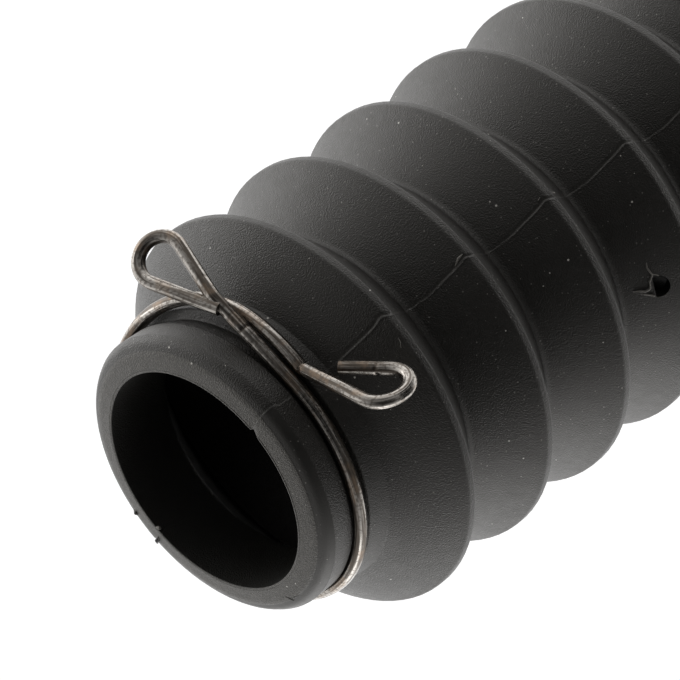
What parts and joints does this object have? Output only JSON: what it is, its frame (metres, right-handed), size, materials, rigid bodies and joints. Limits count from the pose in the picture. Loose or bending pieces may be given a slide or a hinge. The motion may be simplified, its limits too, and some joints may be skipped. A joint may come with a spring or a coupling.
{
  "type": "fork gaiter",
  "caption": "Hollow rubber bellows for a fork leg: narrow lipped neck, V-shaped folds with a drain hole, wide open cuff, and a sprung wire clip with bent ears round the neck.",
  "frame": {"origin": "centre of the wide end's face, on the gaiter's axis; the gaiter stands on that face", "axes": "+Z along the axis from the wide end up to the clamped neck; +X midway between the two ears of the wire clip; the mould's parting plane is turned 28.5 degrees clockwise from +X, seen from above"},
  "size_m": [0.0628, 0.0628, 0.1775],
  "materials": {
    "rubber": "matte moulded black rubber with a fine grain, parting lines, dust specks and light scuffs",
    "spring_steel": "drawn spring wire, bare, scratched along its length, slightly browned"
  },
  "bodies": {
    "root": {"bellows_boot": "rubber", "wire_clamp": "spring_steel"}
  },
  "joints": []
}
